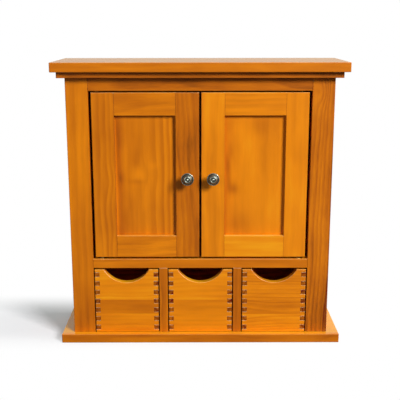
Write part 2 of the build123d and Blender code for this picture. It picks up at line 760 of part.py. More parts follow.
for drawer_name, middle in DRAWERS:
    drawer = f"{drawer_name}_drawer"

    with BuildPart() as drawer_front:
        end_board(middle, front_inner, drawer_front_thickness, scooped=True)
        rim_edges = drawer_front.edges().filter_by(GeomType.CIRCLE)
        top_edges = front_edges(drawer_front).filter_by(Axis.X).group_by(Axis.Z)[-1]
        fillet(rim_edges + top_edges, edge_radius)
        cut_bottom_groove(middle)
    save(drawer_front, f"{drawer}_front")

    for side_name, side in SIDES:
        side_x = middle + side * finger_x - drawer_side_thickness / 2
        with BuildPart() as drawer_side:
            with BuildSketch(Plane.YZ.offset(side_x)):
                with Locations(((front_inner + back_inner) / 2, drawer_middle_z)):
                    Rectangle(back_inner - front_inner, drawer_height)
                with Locations(*[((front_y + drawer_back) / 2, z) for z in finger_middles]):
                    Rectangle(drawer_back - front_y, finger_width)
            extrude(amount=drawer_side_thickness)
            cut_bottom_groove(middle)
        save(drawer_side, f"{drawer}_{side_name}_side")

    with BuildPart() as drawer_back_board:
        end_board(middle, drawer_back, drawer_back_thickness, scooped=False)
        cut_bottom_groove(middle)
    save(drawer_back_board, f"{drawer}_back")

    with BuildPart() as drawer_bottom_panel:
        block((middle - bottom_half, middle + bottom_half), bottom_ys, bottom_zs)
    save(drawer_bottom_panel, f"{drawer}_bottom")
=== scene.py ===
"""The finishes of a small desktop cabinet in honey-stained pine, and the studio that it stands in.

The cabinet's boards and fittings come with the frame, at their real size. Each operator below finishes one
group of them, and the last one sets up the floor, the lamps and the camera.
"""

import math
import random
from typing import NamedTuple

import bpy
from mathutils import Matrix, Vector


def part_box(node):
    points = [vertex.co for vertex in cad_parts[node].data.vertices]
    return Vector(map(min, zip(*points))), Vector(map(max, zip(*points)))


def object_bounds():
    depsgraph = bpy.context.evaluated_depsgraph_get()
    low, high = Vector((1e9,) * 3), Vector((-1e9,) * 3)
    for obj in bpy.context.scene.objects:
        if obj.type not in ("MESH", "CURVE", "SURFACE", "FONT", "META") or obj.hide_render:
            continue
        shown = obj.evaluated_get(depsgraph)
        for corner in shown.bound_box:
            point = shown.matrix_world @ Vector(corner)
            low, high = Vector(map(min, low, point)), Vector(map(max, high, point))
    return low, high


bl_info = {
    "name": "Pine desktop cabinet",
    "version": (1, 0, 0),
    "blender": (4, 5, 0),
    "location": "3D Viewport > Sidebar > Cabinet",
    "description": "Finishes a stained pine desktop cabinet with doors and drawers, and lights it",
    "category": "Object",
}

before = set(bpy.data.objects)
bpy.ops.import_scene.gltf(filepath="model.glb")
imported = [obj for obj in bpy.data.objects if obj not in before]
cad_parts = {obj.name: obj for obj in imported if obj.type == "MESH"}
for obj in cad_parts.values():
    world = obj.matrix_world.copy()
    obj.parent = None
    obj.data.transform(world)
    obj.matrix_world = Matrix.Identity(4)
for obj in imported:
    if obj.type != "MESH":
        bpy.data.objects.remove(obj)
cad_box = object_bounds()

MM = 0.001
SIDES = ("left", "right")
DRAWERS = ("left", "middle", "right")
LAMPS = ("key", "side", "fill", "back")
NOISE_MIDDLE = 0.5  # the middle of what a noise gives
FILM_WIDTH = 36.0  # millimetres, which the focal length is given for

# The log. Lengths are in millimetres.
LOG_REACH = 900  # how far along, aside and deep in the log a board's grain may come from
PITH_ASIDE = 30  # how far aside of a board the log's centre may lie
PITH_BEHIND = (18, 55)  # how far behind the board it lies
LOG_TILT = 0.04  # slope of the log's centre line to the board, at most
STRIP_SHIFT = (173.0, 37.0, 11.0)  # from one glued strip's place in the log to the next one's
SPELLS = 0.37  # dry and wet spells to a year
SPELL_SHIFT = 1.6  # how many ring widths a spell moves the rings, at most
RING_DARKENS = (0.15, 0.75)  # parts of a ring's width, where it starts to darken and where it is dark
RING_ENDS = (0.82, 1.0)  # where its dark edge starts to end and where it has ended
PALEST_YEAR = 0.3  # how dark late wood is in the palest year, next to the darkest

# How deep the stain shows, and its colour there.
STAIN_STOPS = (
    (0.0, "pale"),
    (0.3, "honey"),
    (0.5, "gold"),
    (0.7, "amber"),
    (0.86, "brown"),
    (1.0, "umber"),
)

# Where the stain changes: from the first value it starts to, and at the second it has changed in full.
END_GRAIN_TURN = (0.75, 0.95)  # how far a face has turned to the grain's end, from 0 to 1
ARRIS_TURN = (0.995, 0.9)  # how well an eased edge still follows its face, where 1 is not eased
ARRIS_RISE = (0.1, 0.5)  # how far an eased edge looks up, for the painted highlight (thinner stain) there and painted shade on the others
WORN_RISE = (0.05, 0.45)  # the same, for the pale colour of the painted highlight
FACE_RISE = (0.6, 0.9)  # how far a face looks up, for the painted light on faces that look up
CORNER_ROOM = (0.32, 0.1)  # how open the space in front of a face is, from 0 to 1, for the painted shade in corners and gaps
PATCH_DEPTH = 0.36  # how much the stain varies from patch to patch
HILL_DEPTH = 4  # how deep into the board a swirl or a blot reaches, in half widths

# The lacquered surface. Heights are in millimetres.
LATE_WOOD_HEIGHT = 0.012
FIBRE_HEIGHT = 0.02
BRUSH_HEIGHT = 0.05
BRUSH_RANGE = (0.3, 0.7)  # from the hollows of the brush marks to their crests, in what their noise gives
WOOD_ROUGHNESS = (0.45, 0.6)  # from hollows to crests

# The plywood
PLY_PAIRS = 1.5  # pairs of a light and a dark layer: it has three layers, the middle one dark
PLY_LIGHT = 0.5  # the light layer's share of a pair
PLY_REACH = 2  # figure widths that a sheet's figure may be moved, either way
PLY_STRETCH = 5  # how much longer than wide its figure is
PLY_EDGE_TURN = 0.5  # a face that looks along the sheet's thickness by less is an edge
PLY_EDGE_SHADE = 0.5  # how much darker the middle layer is

# The metals, by how polished a spot is
METAL_STOPS = (0.0, 0.35, 0.65)  # where a metal has the colours of its hollows, clouds and polish
RUBBED_ROOM = (0.7, 0.96)  # how open the space round a spot is, where rubbing starts and where it is full
POLISH_RANGE = (0.1, 0.6)  # from clouded to bright
CLOUDED = 0.2  # how much rougher than its usual a metal is where it has clouded
BRIGHT = -0.04  # the same where it is bright

# The room, where 1 is straight back or straight up
WALL_EDGE = (0.1, 0.75)  # where the pale wall starts and where it is full
CEILING_EDGE = (0.5, 0.8)  # the same for the ceiling


# Nodes and materials


def linear_colour(code):
    """An sRGB hex colour as the linear red, green, blue and alpha that shaders take."""
    channels = [int(code[at : at + 2], 16) / 255 for at in (0, 2, 4)]
    light = [c / 12.92 if c <= 0.04045 else ((c + 0.055) / 1.055) ** 2.4 for c in channels]
    return (*light, 1.0)


def add_node(tree, kind, links=None, stops=(), **settings):
    """Adds a shader node with its settings.

    A link gives an input, by name or number, a value, a node or an output. Stops are the places and colours
    of a colour ramp.
    """
    node = tree.nodes.new("ShaderNode" + kind)
    for name, value in settings.items():
        setattr(node, name, value)
    for stop in stops[2:]:
        node.color_ramp.elements.new(1.0)
    for number, (place, colour) in enumerate(stops):
        node.color_ramp.elements[number].position = place
        node.color_ramp.elements[number].color = colour
    for key, source in (links or {}).items():
        if isinstance(source, bpy.types.Node):
            source = source.outputs[0]
        if isinstance(source, bpy.types.NodeSocket):
            tree.links.new(source, node.inputs[key])
        else:
            node.inputs[key].default_value = source
    return node


def new_material(name):
    """An empty material, and its node tree."""
    material = bpy.data.materials.new(name)
    material.use_nodes = True
    material.node_tree.nodes.clear()
    return material, material.node_tree


def new_group(name, inputs, outputs):
    """An empty group of shader nodes, what its inputs give, and the sockets that take what it makes."""
    tree = bpy.data.node_groups.new(name, "ShaderNodeTree")
    for label, kind in inputs.items():
        tree.interface.new_socket(label, in_out="INPUT", socket_type="NodeSocket" + kind)
    for label, kind in outputs.items():
        tree.interface.new_socket(label, in_out="OUTPUT", socket_type="NodeSocket" + kind)
    return tree, tree.nodes.new("NodeGroupInput").outputs, tree.nodes.new("NodeGroupOutput").inputs


def finish(node_name, material):
    """Gives a piece of the frame its one material."""
    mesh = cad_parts[node_name].data
    mesh.materials.clear()
    mesh.materials.append(material)


# Pine, in millimetres along the grain, across the board's face and into its depth


def wander_group(stain):
    """The trunk is never quite straight, so all its grain wanders sideways along the board."""
    tree, given, made = new_group(
        "grain_wander", {"Position": "Vector", "Seed": "Vector", "Wander": "Float"}, {"Position": "Vector"}
    )
    place = add_node(tree, "VectorMath", {0: given["Position"], 1: given["Seed"]}, operation="ADD")
    length, width = MM / stain.wander_length, MM / stain.wander_width
    stretched = add_node(tree, "VectorMath", {0: place, 1: (length, width, width)}, operation="MULTIPLY")
    wave = add_node(tree, "TexNoise", {"Vector": stretched, "Scale": 1.0, "Detail": 1.5})
    middle = (NOISE_MIDDLE, NOISE_MIDDLE, NOISE_MIDDLE)
    centred = add_node(tree, "VectorMath", {0: wave.outputs["Color"], 1: middle}, operation="SUBTRACT")
    move = add_node(tree, "VectorMath", {0: centred, "Scale": given["Wander"]}, operation="SCALE")
    wandered = add_node(tree, "VectorMath", {0: given["Position"], 1: move}, operation="ADD")
    tree.links.new(wandered.outputs[0], made["Position"])


def swirl_group():
    """A smooth hill at one place of the board. Added to the rings' radius, it swirls them like a knot."""
    tree, given, made = new_group(
        "grain_swirl",
        {"Position": "Vector", "Centre": "Vector", "Size": "Vector", "Height": "Float"},
        {"Height": "Float"},
    )
    offset = add_node(tree, "VectorMath", {0: given["Position"], 1: given["Centre"]}, operation="SUBTRACT")
    scaled = add_node(tree, "VectorMath", {0: offset, 1: given["Size"]}, operation="DIVIDE")
    square = add_node(tree, "VectorMath", {0: scaled, 1: scaled}, operation="DOT_PRODUCT")
    falling = add_node(tree, "Math", {0: square.outputs["Value"], 1: -1.0}, operation="MULTIPLY")
    bell = add_node(tree, "Math", {0: falling}, operation="EXPONENT")
    hill = add_node(tree, "Math", {0: bell, 1: given["Height"]}, operation="MULTIPLY")
    tree.links.new(hill.outputs[0], made["Height"])


def strips_group():
    """A board glued up from three strips, each from its own place in the log and with its own tone."""
    tree, given, made = new_group(
        "glued_strips",
        {
            "Position": "Vector",
            "Lower joint": "Float",
            "Upper joint": "Float",
            "Lower step": "Float",
            "Upper step": "Float",
        },
        {"Position": "Vector", "Tone": "Float"},
    )
    across = add_node(tree, "SeparateXYZ", {0: given["Position"]}).outputs["Y"]
    over_lower = add_node(tree, "Math", {0: across, 1: given["Lower joint"]}, operation="GREATER_THAN")
    over_upper = add_node(tree, "Math", {0: across, 1: given["Upper joint"]}, operation="GREATER_THAN")
    strip = add_node(tree, "Math", {0: over_lower, 1: over_upper}, operation="ADD")
    shift = add_node(tree, "VectorMath", {0: STRIP_SHIFT, "Scale": strip.outputs[0]}, operation="SCALE")
    moved = add_node(tree, "VectorMath", {0: given["Position"], 1: shift}, operation="ADD")
    tone = add_node(tree, "Math", {0: over_lower, 1: given["Lower step"]}, operation="MULTIPLY")
    tone = add_node(
        tree, "Math", {0: over_upper, 1: given["Upper step"], 2: tone}, operation="MULTIPLY_ADD"
    )
    tree.links.new(moved.outputs[0], made["Position"])
    tree.links.new(tone.outputs[0], made["Tone"])


def pine_group(stain):
    """The figure of a pine board: its year rings, fibres, streaks and patches, coloured by the stain."""
    tree, given, made = new_group(
        "pine_board",
        {
            "Position": "Vector",
            "Pith": "Vector",
            "Tilt": "Float",
            "Swirl": "Float",
            "Ring width": "Float",
            "Figure": "Float",
            "Fibre": "Float",
            "Streaks": "Float",
            "Stain": "Float",
            "End grain": "Float",
            "Seed": "Vector",
        },
        {"Color": "Color", "Roughness": "Float", "Height": "Float"},
    )
    place = add_node(tree, "VectorMath", {0: given["Position"], 1: given["Seed"]}, operation="ADD")

    # How far a spot was from the centre line of the log
    from_pith = add_node(tree, "VectorMath", {0: given["Position"], 1: given["Pith"]}, operation="SUBTRACT")
    along, across, deep = add_node(tree, "SeparateXYZ", {0: from_pith}).outputs
    deep = add_node(tree, "Math", {0: along, 1: given["Tilt"], 2: deep}, operation="MULTIPLY_ADD")
    section = add_node(tree, "CombineXYZ", {"Y": across, "Z": deep})
    radius = add_node(tree, "VectorMath", {0: section}, operation="LENGTH").outputs["Value"]
    swirled = add_node(tree, "Math", {0: radius, 1: given["Swirl"]}, operation="ADD")

    # Each year's ring darkens slowly through its early wood and ends at a sharp dark edge of late wood.
    years = add_node(tree, "Math", {0: swirled, 1: given["Ring width"]}, operation="DIVIDE")
    spells = add_node(tree, "Math", {0: years, 1: SPELLS}, operation="MULTIPLY")
    weather = add_node(tree, "TexNoise", {"W": spells, "Scale": 1.0, "Detail": 1.0}, noise_dimensions="1D")
    year = add_node(tree, "Math", {0: weather, 1: SPELL_SHIFT, 2: years}, operation="MULTIPLY_ADD")
    part_of_year = add_node(tree, "Math", {0: year}, operation="FRACT")
    whole_year = add_node(tree, "Math", {0: year}, operation="FLOOR")
    growing = add_node(
        tree,
        "MapRange",
        {"Value": part_of_year, "From Min": RING_DARKENS[0], "From Max": RING_DARKENS[1]},
        interpolation_type="SMOOTHSTEP",
    )
    ending = add_node(
        tree,
        "MapRange",
        {
            "Value": part_of_year,
            "From Min": RING_ENDS[0],
            "From Max": RING_ENDS[1],
            "To Min": 1.0,
            "To Max": 0.0,
        },
        interpolation_type="SMOOTHSTEP",
    )
    chance = add_node(tree, "TexWhiteNoise", {"W": whole_year}, noise_dimensions="1D").outputs["Value"]
    strength = add_node(tree, "MapRange", {"Value": chance, "To Min": PALEST_YEAR, "To Max": 1.0})
    band = add_node(tree, "Math", {0: growing, 1: ending}, operation="MULTIPLY")
    late_wood = add_node(tree, "Math", {0: band, 1: strength}, operation="MULTIPLY")

    # How deep the stain shows, from 0 for pale wood to 1 for the darkest. It is deeper in late wood, and it
    # varies with the fibres, with streaks along the grain and with patches that took more of it.
    depth = add_node(
        tree, "Math", {0: late_wood, 1: given["Figure"], 2: given["Stain"]}, operation="MULTIPLY_ADD"
    )
    patterns = {}
    for name, amount, noise in (
        ("fibre", given["Fibre"], {"Detail": 2.5, "Roughness": 0.6}),
        ("streak", given["Streaks"], {"Detail": 1.5}),
        ("patch", PATCH_DEPTH, {"Detail": 2.0}),
    ):
        length = MM / getattr(stain, name + "_length")
        width = MM / getattr(stain, name + "_width")
        spot = add_node(tree, "VectorMath", {0: place, 1: (length, width, width)}, operation="MULTIPLY")
        patterns[name] = add_node(tree, "TexNoise", {"Vector": spot, "Scale": 1.0, **noise})
        centred = add_node(tree, "Math", {0: patterns[name], 1: NOISE_MIDDLE}, operation="SUBTRACT")
        depth = add_node(tree, "Math", {0: centred, 1: amount, 2: depth}, operation="MULTIPLY_ADD")
    depth = add_node(
        tree, "Math", {0: given["End grain"], 1: stain.end_grain_depth, 2: depth}, operation="MULTIPLY_ADD"
    )
    stops = [(at, getattr(stain, name)) for at, name in STAIN_STOPS]
    colours = add_node(tree, "ValToRGB", {"Fac": depth}, stops)

    # The lacquer follows the wood under it: late wood stands a little proud, and the fibres print through.
    spot = add_node(tree, "VectorMath", {0: place, "Scale": MM / stain.brush_width}, operation="SCALE")
    brush = add_node(tree, "TexNoise", {"Vector": spot, "Scale": 1.0, "Detail": 2.0})
    roughness = add_node(
        tree,
        "MapRange",
        {
            "Value": brush,
            "From Min": BRUSH_RANGE[0],
            "From Max": BRUSH_RANGE[1],
            "To Min": WOOD_ROUGHNESS[0],
            "To Max": WOOD_ROUGHNESS[1],
        },
    )
    relief = add_node(tree, "Math", {0: late_wood, 1: LATE_WOOD_HEIGHT}, operation="MULTIPLY")
    for pattern, height in ((patterns["fibre"], FIBRE_HEIGHT), (brush, BRUSH_HEIGHT)):
        relief = add_node(tree, "Math", {0: pattern, 1: height, 2: relief}, operation="MULTIPLY_ADD")
    tree.links.new(colours.outputs["Color"], made["Color"])
    tree.links.new(roughness.outputs["Result"], made["Roughness"])
    tree.links.new(relief.outputs[0], made["Height"])


class Cut(NamedTuple):
    """How a board was cut from the log and stained. Lengths are in millimetres, from the board's centre."""

    run: str  # the axes along the grain, across the face and into the board
    stain: float = 0.45  # how deep the stain shows, from 0 to 1
    figure: float = 0.18  # how much the late wood darkens it
    ring: float = 6.0  # width of a year's ring
    fibre: float = 0.1  # how much the fibres vary in colour
    streaks: float = 0.3  # how much the streaks vary in colour
    pith: tuple = None  # where the log's centre is, across the face and behind it
    tilt: float = None  # of the log's centre line to the board
    wander: float = 12.0  # how far the grain can wander sideways
    swirls: tuple = ()  # knots and dents: along, across, half their length and width, and height
    blots: tuple = ()  # where the board is darker or lighter, in the same way; a few paint shade along the door panels' edges
    strips: tuple = ()  # glue joints across the face, and the steps in tone there


def add_hills(tree, position, places, start):
    """Adds the swirls or blots of a board to what there is at the start."""
    total = start
    for at_along, at_across, half_length, half_width, height in places:
        hill = add_node(
            tree,
            "Group",
            {
                "Position": position,
                "Centre": (at_along, at_across, 0.0),
                "Size": (half_length, half_width, HILL_DEPTH * half_width),
                "Height": height,
            },
            node_tree=bpy.data.node_groups["grain_swirl"],
        )
        total = add_node(tree, "Math", {0: hill, 1: total}, operation="ADD")
    return total


def stain_with_painted_light(tree, stain, eased, facing, depth):
    """How deep a board's stain shows once light and shade are painted into it, and how much pale highlight
    colour its edges take.
    """
    # The arrises are eased with sandpaper. Those that look up get a painted highlight, thinner stain and a
    # pale colour, and the others painted shade, deeper stain.
    flat = add_node(tree, "NewGeometry").outputs["Normal"]
    straight = add_node(tree, "VectorMath", {0: eased, 1: flat}, operation="DOT_PRODUCT").outputs["Value"]
    edge = add_node(
        tree, "MapRange", {"Value": straight, "From Min": ARRIS_TURN[0], "From Max": ARRIS_TURN[1]}
    )
    rise = add_node(tree, "SeparateXYZ", {0: eased}).outputs["Z"]
    painted_edge_light_and_shade = add_node(
        tree,
        "MapRange",
        {
            "Value": rise,
            "From Min": ARRIS_RISE[0],
            "From Max": ARRIS_RISE[1],
            "To Min": -stain.arris_painted_shade,
            "To Max": stain.arris_painted_highlight,
        },
    )
    # Painted highlight on edges that look up and painted shade on the others, as a change in the stain.
    rubbed = add_node(tree, "Math", {0: edge, 1: painted_edge_light_and_shade}, operation="MULTIPLY")
    # The pale colour mixed in on edges that look up is a painted highlight.
    worn = add_node(
        tree,
        "MapRange",
        {"Value": rise, "From Min": WORN_RISE[0], "From Max": WORN_RISE[1], "To Max": stain.arris_pale_highlight},
    )
    bare = add_node(tree, "Math", {0: edge, 1: worn}, operation="MULTIPLY")

    # Faces that look up are painted paler, as painted light from above.
    painted_top_light = add_node(
        tree,
        "MapRange",
        {
            "Value": facing.outputs["Z"],
            "From Min": FACE_RISE[0],
            "From Max": FACE_RISE[1],
            "To Max": stain.painted_top_light,
        },
    )

    # Painted shade: the stain is deepened in the corners and the narrow gaps, where little light reaches.
    room = add_node(tree, "AmbientOcclusion", {"Distance": stain.corner_shade_reach}, samples=8).outputs["AO"]
    pooled = add_node(
        tree,
        "MapRange",
        {
            "Value": room,
            "From Min": CORNER_ROOM[0],
            "From Max": CORNER_ROOM[1],
            "To Max": stain.corner_shade_depth,
        },
    )
    for change, operation in ((rubbed, "SUBTRACT"), (painted_top_light, "SUBTRACT"), (pooled, "ADD")):
        depth = add_node(tree, "Math", {0: depth, 1: change}, operation=operation)
    return depth, bare


def stained_pine(node_name, cut, stain):
    """Planed pine, stained honey, with brushed satin lacquer: warm orange, darker rings, a soft sheen."""
    chance = random.Random(node_name)
    material, tree = new_material("stained_pine_" + node_name)
    low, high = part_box(node_name)
    centre = (low + high) / 2 / MM
    seed = tuple(chance.uniform(-LOG_REACH, LOG_REACH) for axis in range(3))
    pith = cut.pith or (chance.uniform(-PITH_ASIDE, PITH_ASIDE), chance.uniform(*PITH_BEHIND))
    tilt = chance.uniform(-LOG_TILT, LOG_TILT) if cut.tilt is None else cut.tilt

    source = add_node(tree, "TexCoord")
    millimetres = add_node(
        tree,
        "VectorMath",
        {0: source.outputs["Object"], 1: (1 / MM, 1 / MM, 1 / MM), 2: -centre},
        operation="MULTIPLY_ADD",
    )
    apart = add_node(tree, "SeparateXYZ", {0: millimetres})
    along, across, deep = (apart.outputs[axis] for axis in cut.run)
    position = add_node(tree, "CombineXYZ", {"X": along, "Y": across, "Z": deep})
    facing = add_node(tree, "SeparateXYZ", {0: source.outputs["Normal"]})
    turned = add_node(tree, "Math", {0: facing.outputs[cut.run[0]]}, operation="ABSOLUTE")
    end_grain = add_node(
        tree, "MapRange", {"Value": turned, "From Min": END_GRAIN_TURN[0], "From Max": END_GRAIN_TURN[1]}
    )

    depth = cut.stain
    if cut.strips:
        joints = dict(zip(("Lower joint", "Upper joint", "Lower step", "Upper step"), cut.strips))
        glued = add_node(
            tree,
            "Group",
            {"Position": position, **joints},
            node_tree=bpy.data.node_groups["glued_strips"],
        )
        position = glued.outputs["Position"]
        depth = add_node(tree, "Math", {0: glued.outputs["Tone"], 1: cut.stain}, operation="ADD")

    wander = add_node(
        tree,
        "Group",
        {"Position": position, "Seed": seed, "Wander": cut.wander},
        node_tree=bpy.data.node_groups["grain_wander"],
    )
    swirl = add_hills(tree, wander, cut.swirls, 0.0)
    depth = add_hills(tree, wander, cut.blots, depth)
    eased = add_node(tree, "Bevel", {"Radius": stain.arris}, samples=6)
    # Paints light and shade into the stain: highlights on upward edges and faces, shade on the other edges
    # and in corners.
    depth, bare = stain_with_painted_light(tree, stain, eased, facing, depth)

    pine = add_node(
        tree,
        "Group",
        {
            "Position": wander,
            "Pith": (0.0, *pith),
            "Tilt": tilt,
            "Swirl": swirl,
            "Ring width": cut.ring,
            "Figure": cut.figure,
            "Fibre": cut.fibre,
            "Streaks": cut.streaks,
            "Stain": depth,
            "End grain": end_grain,
            "Seed": seed,
        },
        node_tree=bpy.data.node_groups["pine_board"],
    )
    # Mixing toward the pale colour on edges that look up paints a highlight.
    # Numbers, because the colour inputs of this node share their names with others.
    colour = add_node(tree, "Mix", {0: bare, 6: pine.outputs["Color"], 7: stain.bare}, data_type="RGBA")
    relief = add_node(
        tree,
        "Bump",
        {"Height": pine.outputs["Height"], "Strength": 0.6, "Distance": MM, "Normal": eased},
    )
    # The wood's own gloss is low, because the lacquer carries it.
    lacquered = add_node(
        tree,
        "BsdfPrincipled",
        {
            "Base Color": colour.outputs[2],
            "Roughness": pine.outputs["Roughness"],
            "IOR": 1.5,
            "Specular IOR Level": 0.1,
            "Normal": relief,
            "Coat Weight": 1.0,
            "Coat Roughness": stain.lacquer_roughness,
            "Coat IOR": 1.5,
            "Coat Normal": relief,
        },
    )
    add_node(tree, "OutputMaterial", {"Surface": lacquered})
    return material


# The boards, as they were cut


TOP_BOARDS = {
    # The top board's deeper stain is partly painted shade, for the lesser light on its top face.
    "top_board": Cut("XYZ", stain=0.52, figure=0.05, fibre=0.05),
    # The cornice's deep stain is partly painted shade, for the shadow under the top board's overhang.
    "cornice_front": Cut("XZY", stain=0.68),
    "cornice_left": Cut("YZX", stain=0.6),
    "cornice_right": Cut("YZX", stain=0.6),
}
CASE_BOARDS = {
    "base_board": Cut("XYZ", stain=0.3, figure=0.08, blots=((0, -67, 900, 6, 0.32),)),
    "left_side_panel": Cut("ZYX", stain=0.5),
    "right_side_panel": Cut("ZYX", stain=0.5),
    "cupboard_floor": Cut("XYZ"),
    "cupboard_shelf": Cut("XYZ"),
    "left_drawer_guide": Cut("YXZ"),
    "right_drawer_guide": Cut("YXZ"),
    "left_drawer_divider": Cut("ZXY", stain=0.53),
    "right_drawer_divider": Cut("ZXY", stain=0.66),
}
FACE_FRAME = {
    "left_frame_stile": Cut(
        "ZXY",
        stain=0.45,
        figure=0.08,
        ring=9,
        pith=(-46, 30),
        blots=((-170, 0, 70, 60, 0.16),),
    ),
    "right_frame_stile": Cut(
        "ZXY",
        stain=0.52,
        figure=0.16,
        ring=5,
        fibre=0.3,
        pith=(-30, 12),
        tilt=0.03,
        wander=7,
        swirls=((172, -4, 18, 9, -9.0),),
        blots=(
            (-170, 0, 80, 60, 0.16),
            (190, -2, 30, 12, 0.14),
            (0, 17, 400, 5, 0.2),
        ),
    ),
    "top_frame_rail": Cut("XZY", stain=0.62, figure=0.16, ring=4, fibre=0.2),
    "middle_frame_rail": Cut("XZY", stain=0.5, figure=0.08),
}
DOOR_BOARDS = {
    "left_door_hinge_stile": Cut(
        "ZXY", stain=0.45, figure=0.16, pith=(-26, 16), swirls=((-8, 12, 24, 10, -4.0),)
    ),
    "left_door_meeting_stile": Cut("ZXY", stain=0.62, figure=0.1, fibre=0.2, pith=(28, 20), tilt=0.06),
    "left_door_top_rail": Cut("XZY", stain=0.47, figure=0.1, fibre=0.2),
    "left_door_bottom_rail": Cut("XZY", stain=0.4, figure=0.14, fibre=0.2),
    "left_door_panel": Cut(
        "ZXY",
        stain=0.43,
        figure=0.2,
        ring=8,
        streaks=0.2,
        pith=(-14, 26),
        tilt=0.0,
        wander=5,
        swirls=((2, 8, 20, 12, -3.5),),
        blots=(
            (4, -10, 10, 9, -0.14),
            (-8, -14, 4, 12, 0.12),
            (20, -14, 7, 5, 0.08),
            (33, -13, 12, 8, 0.07),
            (17, 12, 6, 7, -0.08),
            (-2, -37, 8, 5, 0.1),
            # A dark band along the panel's left edge, partly the wood's own and partly painted shade beside
            # the recess.
            (0, -40, 400, 5, 0.12),
            (-97, 0, 5, 90, 0.14),
            (-60, -30, 40, 8, 0.1),
            (60, -32, 30, 8, 0.06),
        ),
    ),
    "right_door_hinge_stile": Cut("ZXY", stain=0.32, figure=0.06, ring=9),
    "right_door_meeting_stile": Cut("ZXY", stain=0.31, figure=0.1, ring=9, blots=((0, -17, 400, 4, 0.16),)),
    "right_door_top_rail": Cut("XZY", stain=0.34, figure=0.08),
    "right_door_bottom_rail": Cut("XZY", stain=0.22, figure=0.06),
    "right_door_panel": Cut(
        "ZXY",
        stain=0.36,
        figure=0.05,
        ring=9,
        streaks=0.14,
        pith=(-8, 34),
        tilt=0.02,
        wander=7,
        blots=(
            (17, -41, 16, 4, 0.3),
            (-8, -40, 16, 4, 0.2),
            (-20, -33, 9, 8, 0.3),
            (40, -37, 14, 5, 0.14),
            (74, -38, 13, 6, 0.12),
            (76, 10, 16, 18, 0.16),
            (22, 16, 44, 8, 0.1),
            (-40, -40, 24, 10, 0.08),
            # Painted shade along the panel's left edge, against the light bounced off the recess.
            (0, -46, 400, 3, 0.14),
            (-72, -20, 20, 30, 0.12),
            (-97, 0, 5, 90, 0.2),
            (-53, 28, 40, 9, -0.1),
        ),
    ),
}
# Their light stain is partly painted light, for the light that the floor throws up onto them.
DRAWER_FRONTS = {
    "left": Cut("XZY", stain=0.37, figure=0.08, strips=(-21, 2, 0.14, -0.28)),
    "middle": Cut("XZY", stain=0.32, figure=0.08, strips=(-22, 2, 0.04, -0.06)),
    "right": Cut("XZY", stain=0.27, figure=0.16, ring=4, fibre=0.2, strips=(-22, 2, 0.18, -0.06)),
}
DRAWER_SIDE = Cut("YZX", stain=0.42)
# Its deep stain is painted shade, for the dark inside of the drawers seen through the scoops.
DRAWER_BACK = Cut("XZY", stain=0.7)


# Other finishes


def birch_plywood(node_name, hardware):
    """Birch plywood, rotary cut and thinly lacquered: pale brown, broad faint figure, layered edges."""
    material, tree = new_material("birch_plywood_" + node_name)
    chance = random.Random(node_name)
    low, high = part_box(node_name)
    sizes = high - low
    thin = min(range(3), key=lambda axis: sizes[axis])
    source = add_node(tree, "TexCoord")
    offset = tuple(chance.uniform(-PLY_REACH, PLY_REACH) for axis in range(3))
    figure_size = [1 / hardware.ply_figure_width] * 3
    figure_size[0 if sizes[0] > sizes[2] else 2] /= PLY_STRETCH
    spot = add_node(
        tree,
        "VectorMath",
        {0: source.outputs["Object"], 1: figure_size, 2: offset},
        operation="MULTIPLY_ADD",
    )
    figure = add_node(tree, "TexNoise", {"Vector": spot, "Scale": 1.0, "Detail": 3.0, "Distortion": 1.4})

    # The middle layer shows at the edges as a darker line.
    through = add_node(tree, "SeparateXYZ", {0: source.outputs["Object"]}).outputs[thin]
    layer = add_node(
        tree,
        "MapRange",
        {"Value": through, "From Min": low[thin], "From Max": high[thin], "To Max": PLY_PAIRS},
    )
    part_of_pair = add_node(tree, "Math", {0: layer}, operation="FRACT")
    crossed = add_node(tree, "Math", {0: part_of_pair, 1: PLY_LIGHT}, operation="GREATER_THAN")
    facing = add_node(tree, "SeparateXYZ", {0: source.outputs["Normal"]}).outputs[thin]
    level = add_node(tree, "Math", {0: facing}, operation="ABSOLUTE")
    edge = add_node(tree, "Math", {0: level, 1: PLY_EDGE_TURN}, operation="LESS_THAN")
    dark_edge = add_node(tree, "Math", {0: edge, 1: crossed}, operation="MULTIPLY")
    shade = add_node(tree, "Math", {0: dark_edge, 1: PLY_EDGE_SHADE, 2: figure}, operation="MULTIPLY_ADD")
    stops = ((0.3, hardware.birch), (0.95, hardware.birch_dark))
    colours = add_node(tree, "ValToRGB", {"Fac": shade}, stops)
    relief = add_node(tree, "Bump", {"Height": figure, "Strength": 0.2, "Distance": 0.1 * MM})
    veneer = add_node(
        tree, "BsdfPrincipled", {"Base Color": colours, "Roughness": 0.5, "IOR": 1.5, "Normal": relief}
    )
    add_node(tree, "OutputMaterial", {"Surface": veneer})
    return material


def bare_beech(hardware):
    """Bare beech, turned into dowel rod: pale pinkish brown with fine dark flecks along the grain."""
    material, tree = new_material("bare_beech")
    source = add_node(tree, "TexCoord").outputs["Object"]
    place = add_node(tree, "VectorMath", {0: source, "Scale": 1 / hardware.beech_fleck}, operation="SCALE")
    flecks = add_node(tree, "TexNoise", {"Vector": place, "Scale": 1.0, "Detail": 2.0})
    stops = ((0.35, hardware.beech), (0.75, hardware.beech_dark))
    colours = add_node(tree, "ValToRGB", {"Fac": flecks}, stops)
    relief = add_node(tree, "Bump", {"Height": flecks, "Strength": 0.3, "Distance": 0.1 * MM})
    wood = add_node(
        tree, "BsdfPrincipled", {"Base Color": colours, "Roughness": 0.6, "IOR": 1.5, "Normal": relief}
    )
    add_node(tree, "OutputMaterial", {"Surface": wood})
    return material


